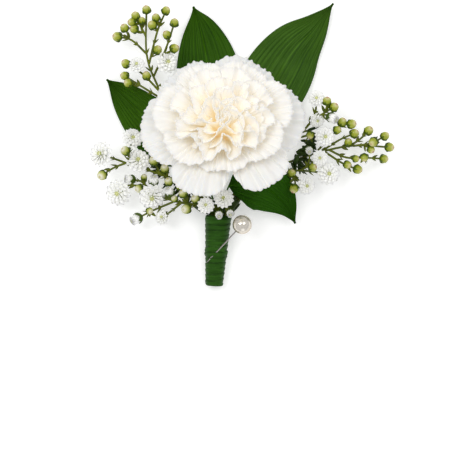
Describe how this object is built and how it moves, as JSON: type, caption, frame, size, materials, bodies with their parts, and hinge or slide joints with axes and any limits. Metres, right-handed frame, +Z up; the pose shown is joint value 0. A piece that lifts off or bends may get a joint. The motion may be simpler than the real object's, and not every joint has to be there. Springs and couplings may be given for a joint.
{
  "type": "boutonniere",
  "caption": "Lapel flower lying on its back: a white carnation with broad dark leaves and small white filler sprigs, stems bound in green, with a pearl-headed pin through the binding.",
  "frame": {"origin": "on the table under the middle of the whole piece's bounding box", "axes": "+Z up off the table, +Y from the cut stems towards the leaf tips, +X to the right seen from above with the stems nearest the viewer"},
  "size_m": [0.1247, 0.1173, 0.0521],
  "materials": {
    "petal_white": "soft matt",
    "calyx_green": "satin",
    "stem_green": "satin",
    "leaf_green": "satin",
    "sprig_green": "satin",
    "wrap_green": "satin ribbon",
    "pin_steel": "polished",
    "pearl": "pearlescent"
  },
  "bodies": {
    "root": {"calyx": "calyx_green", "petal_guard_1": "petal_white", "petal_guard_2": "petal_white", "petal_guard_3": "petal_white", "petal_guard_4": "petal_white", "petal_guard_5": "petal_white", "petal_guard_6": "petal_white", "petal_outer_1": "petal_white", "petal_outer_2": "petal_white", "petal_outer_3": "petal_white", "petal_outer_4": "petal_white", "petal_outer_5": "petal_white", "petal_outer_6": "petal_white", "petal_outer_7": "petal_white", "petal_middle_1": "petal_white", "petal_middle_2": "petal_white", "petal_middle_3": "petal_white", "petal_middle_4": "petal_white", "petal_middle_5": "petal_white", "petal_middle_6": "petal_white", "petal_middle_7": "petal_white", "petal_middle_8": "petal_white", "petal_inner_1": "petal_white", "petal_inner_2": "petal_white", "petal_inner_3": "petal_white", "petal_inner_4": "petal_white", "petal_inner_5": "petal_white", "petal_inner_6": "petal_white", "petal_inner_7": "petal_white", "petal_inner_8": "petal_white", "petal_heart_1": "petal_white", "petal_heart_2": "petal_white", "petal_heart_3": "petal_white", "petal_heart_4": "petal_white", "petal_heart_5": "petal_white", "petal_heart_6": "petal_white", "carnation_stem": "stem_green", "leaf_top": "leaf_green", "leaf_right": "leaf_green", "leaf_left": "leaf_green", "leaf_low": "leaf_green", "sprig_top_left": "sprig_green", "sprig_left": "sprig_green", "sprig_left_low": "sprig_green", "sprig_front": "sprig_green", "sprig_right_low": "sprig_green", "sprig_right_long": "sprig_green", "sprig_right_high": "sprig_green", "stem_wrap": "wrap_green", "pin_shaft": "pin_steel", "pin_pearl": "pearl"}
  },
  "joints": []
}
